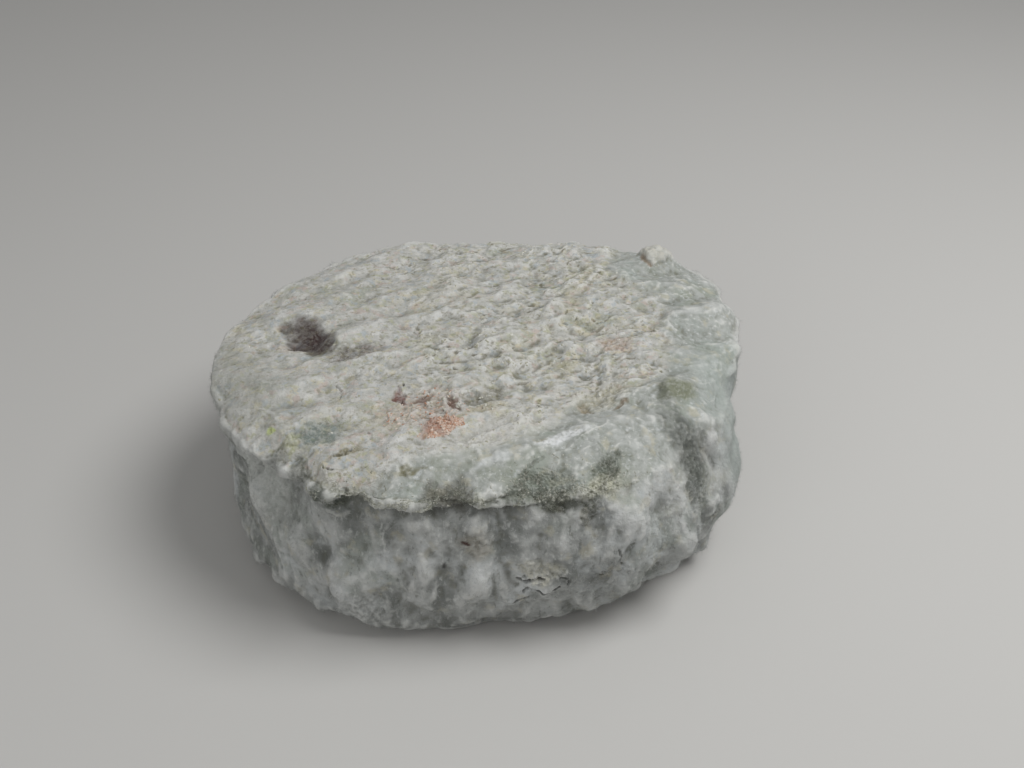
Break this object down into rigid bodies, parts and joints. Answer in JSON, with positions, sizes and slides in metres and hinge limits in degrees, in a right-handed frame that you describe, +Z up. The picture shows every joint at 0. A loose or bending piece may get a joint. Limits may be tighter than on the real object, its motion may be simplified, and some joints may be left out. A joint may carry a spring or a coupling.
{
  "type": "tomme cheese wheel",
  "caption": "Whole round tomme cheese with a lumpy mould-grown rind, a soft overhanging rim, dimpled sides and a flat underside.",
  "frame": {"origin": "middle of the flat underside, at the centre of the outline seen from above", "axes": "+Z up through the wheel, its shortest way; -Y towards the front; +X to the right seen from the front"},
  "size_m": [0.2064, 0.1936, 0.0731],
  "materials": {
    "mould_grown_rind": "matt, soft and slightly furry grey-white mould rind"
  },
  "bodies": {
    "root": {"tomme_wheel": "mould_grown_rind"}
  },
  "joints": []
}
